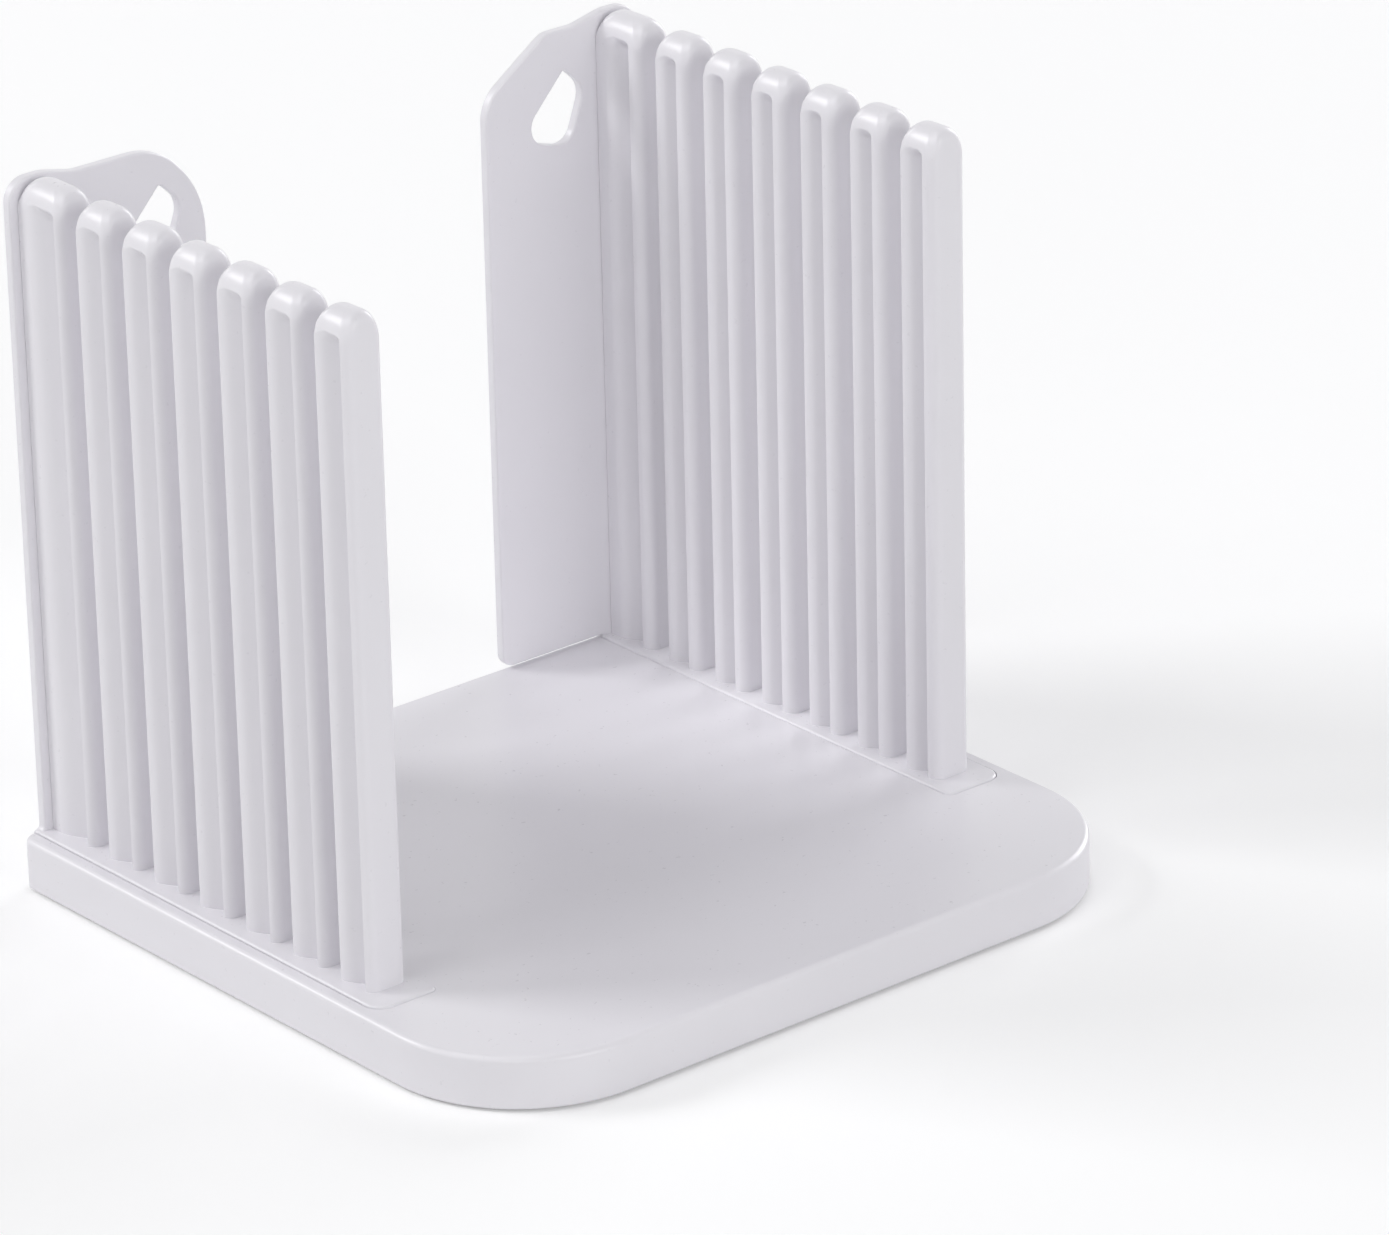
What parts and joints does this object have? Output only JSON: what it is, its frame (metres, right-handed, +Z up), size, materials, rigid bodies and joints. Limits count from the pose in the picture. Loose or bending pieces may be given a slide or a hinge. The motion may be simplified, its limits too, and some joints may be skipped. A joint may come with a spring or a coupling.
{
  "type": "bread slicing guide",
  "caption": "White plastic bread slicing guide: a base tray with two slotted combs that slide in from behind and carry tall rear stops.",
  "frame": {"origin": "on the table, under the centre of the whole object's bounding box", "axes": "+Z up; +X to the right across the combs, seen from the front; +Y to the rear, the way both combs slide out"},
  "size_m": [0.1674, 0.153, 0.1505],
  "materials": {
    "white_plastic": "satin white moulded plastic",
    "rubber_pad": "matt grey rubber"
  },
  "bodies": {
    "base": {"base_tray": "white_plastic", "pad_front_left": "rubber_pad", "pad_front_right": "rubber_pad", "pad_rear_left": "rubber_pad", "pad_rear_right": "rubber_pad"},
    "left_comb": {"left_comb_rail": "white_plastic", "left_finger_1": "white_plastic", "left_finger_2": "white_plastic", "left_finger_3": "white_plastic", "left_finger_4": "white_plastic", "left_finger_5": "white_plastic", "left_finger_6": "white_plastic", "left_finger_7": "white_plastic", "left_rear_stop": "white_plastic"},
    "right_comb": {"right_comb_rail": "white_plastic", "right_finger_1": "white_plastic", "right_finger_2": "white_plastic", "right_finger_3": "white_plastic", "right_finger_4": "white_plastic", "right_finger_5": "white_plastic", "right_finger_6": "white_plastic", "right_finger_7": "white_plastic", "right_rear_stop": "white_plastic"}
  },
  "joints": [
    {"name": "left_comb_slide", "type": "slide", "parent": "base", "child": "left_comb", "axis": [0, 1, 0], "range_m": [0, 0.11]},
    {"name": "right_comb_slide", "type": "slide", "parent": "base", "child": "right_comb", "axis": [0, 1, 0], "range_m": [0, 0.11]}
  ]
}
